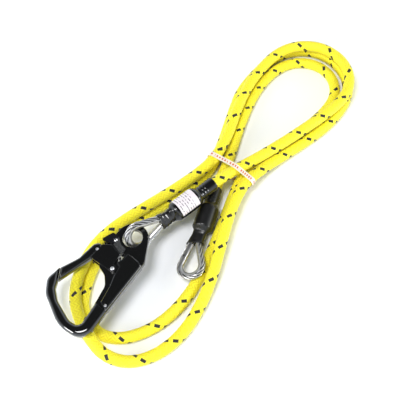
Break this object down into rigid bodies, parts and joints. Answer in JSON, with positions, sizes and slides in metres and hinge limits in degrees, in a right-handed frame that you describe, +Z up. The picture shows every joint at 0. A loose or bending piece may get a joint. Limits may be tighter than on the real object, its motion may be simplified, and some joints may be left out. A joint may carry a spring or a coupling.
{
  "type": "wire-core positioning lanyard",
  "caption": "Braided rope over a wire core, folded in a flat hank, with a thimble eye at each end and a double-locking snap hook on one of them.",
  "frame": {"origin": "on the ground under the middle of the whole part's bounding box", "axes": "+Z up; +X along the hank, from the hook end to the far bend"},
  "size_m": [0.4842, 0.1662, 0.0469],
  "materials": {
    "rope": "matte",
    "wire": "satin",
    "thimble": "gloss",
    "sleeve": "satin",
    "shrink_gloss": "gloss",
    "shrink_matte": "satin",
    "label": "satin",
    "band": "satin",
    "hook_black": "gloss",
    "lever": "satin",
    "rivet": "gloss",
    "spring": "satin"
  },
  "bodies": {
    "lanyard": {"rope_sheath": "rope", "wire_core": "wire", "thimble_a": "thimble", "thimble_b": "thimble", "swage_sleeve_a": "sleeve", "swage_sleeve_b": "sleeve", "heat_shrink_a": "shrink_gloss", "heat_shrink_b": "shrink_matte", "id_label": "label", "tie_band": "band"},
    "hook": {"hook_body": "hook_black", "spine_cover_top": "hook_black", "spine_cover_bottom": "hook_black", "spine_rivet": "rivet", "gate_pivot_rivet": "rivet", "lever_pivot_rivet": "rivet", "gate_spring": "spring"},
    "gate_body": {"gate": "hook_black", "gate_stop_rivet": "rivet"},
    "lever_body": {"lock_lever": "lever"}
  },
  "joints": [
    {"name": "hook_swing", "type": "hinge", "parent": "lanyard", "child": "hook", "pos_m": [-0.11996, 0.03299, 0.0325], "axis": [0, 0, 1], "range_deg": [-50, 20]},
    {"name": "gate_hinge", "type": "hinge", "parent": "hook", "child": "gate_body", "pos_m": [-0.16085, 0.02999, 0.0325], "axis": [0, 0, 1], "range_deg": [0, 40], "stiffness_Nm_per_rad": 0.08, "springref_deg": -28.65},
    {"name": "lever_hinge", "type": "hinge", "parent": "hook", "child": "lever_body", "pos_m": [-0.13185, 0.04659, 0.0325], "axis": [0, 0, 1], "range_deg": [0, 8], "stiffness_Nm_per_rad": 0.03, "springref_deg": -17.19}
  ]
}
